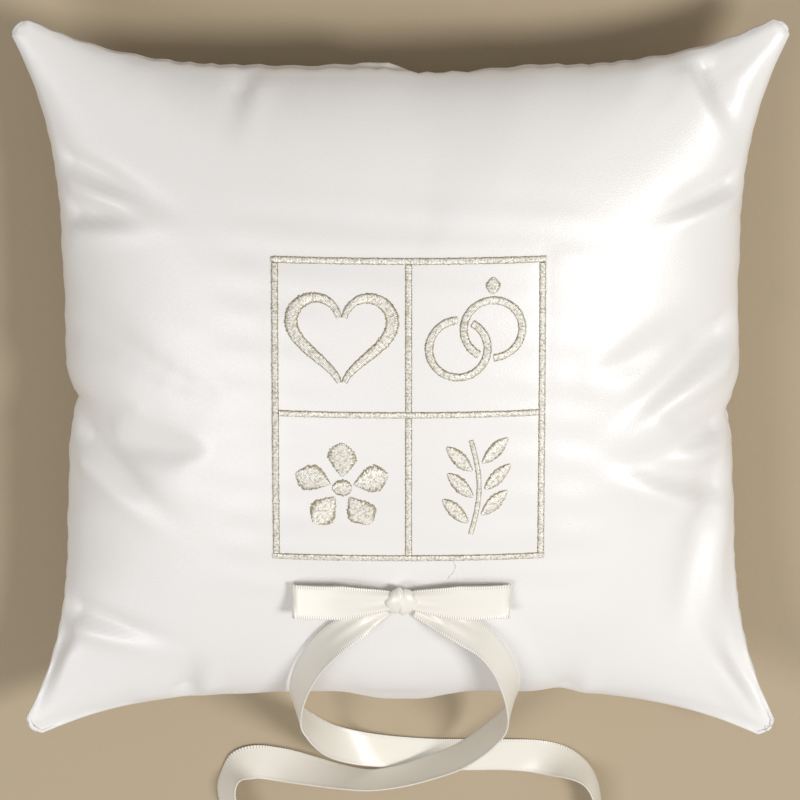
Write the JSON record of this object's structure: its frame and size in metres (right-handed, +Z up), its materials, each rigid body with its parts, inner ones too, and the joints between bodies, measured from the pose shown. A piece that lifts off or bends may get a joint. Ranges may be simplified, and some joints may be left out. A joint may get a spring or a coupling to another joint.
{
  "type": "ring bearer pillow",
  "caption": "Small square stuffed satin pillow with pointed corners, an embroidered frame of four panes and a ribbon bow with two long tails for tying on rings.",
  "frame": {"origin": "middle of the pillow on the surface it rests on", "axes": "+Z up out of the embroidered face, +Y towards the pillow's top edge, +X to the reader's right"},
  "size_m": [0.21, 0.257, 0.0601],
  "materials": {
    "satin": "white satin weave with a soft sheen",
    "ribbon": "ivory satin ribbon with ticked woven edges",
    "metallic_thread": "sparkling champagne metallic embroidery thread",
    "sewing_thread": "matt white polyester thread",
    "fibre_filling": "loose white polyester fibre",
    "backing": "white non-woven stabiliser"
  },
  "bodies": {
    "root": {"back_panel": "satin", "blossom_eye": "metallic_thread", "blossom_petal_1": "metallic_thread", "blossom_petal_2": "metallic_thread", "blossom_petal_3": "metallic_thread", "blossom_petal_4": "metallic_thread", "blossom_petal_5": "metallic_thread", "border_bottom": "metallic_thread", "border_left": "metallic_thread", "border_right": "metallic_thread", "border_top": "metallic_thread", "bow_knot": "ribbon", "bow_loop_left": "ribbon", "bow_loop_right": "ribbon", "bow_tack": "sewing_thread", "closing_stitches": "sewing_thread", "divider_across": "metallic_thread", "divider_lower": "metallic_thread", "divider_upper": "metallic_thread", "embroidery_backing": "backing", "filling": "fibre_filling", "front_panel": "satin", "heart_left_side": "metallic_thread", "heart_right_side": "metallic_thread", "ribbon_tail_left": "ribbon", "ribbon_tail_right": "ribbon", "ring_gem": "metallic_thread", "ring_left": "metallic_thread", "ring_right": "metallic_thread", "seam_thread_left": "sewing_thread", "seam_thread_lower_left": "sewing_thread", "seam_thread_lower_right": "sewing_thread", "seam_thread_right": "sewing_thread", "seam_thread_top": "sewing_thread", "sprig_leaf_left_1": "metallic_thread", "sprig_leaf_left_2": "metallic_thread", "sprig_leaf_left_3": "metallic_thread", "sprig_leaf_right_1": "metallic_thread", "sprig_leaf_right_2": "metallic_thread", "sprig_leaf_right_3": "metallic_thread", "sprig_stem": "metallic_thread"}
  },
  "joints": []
}
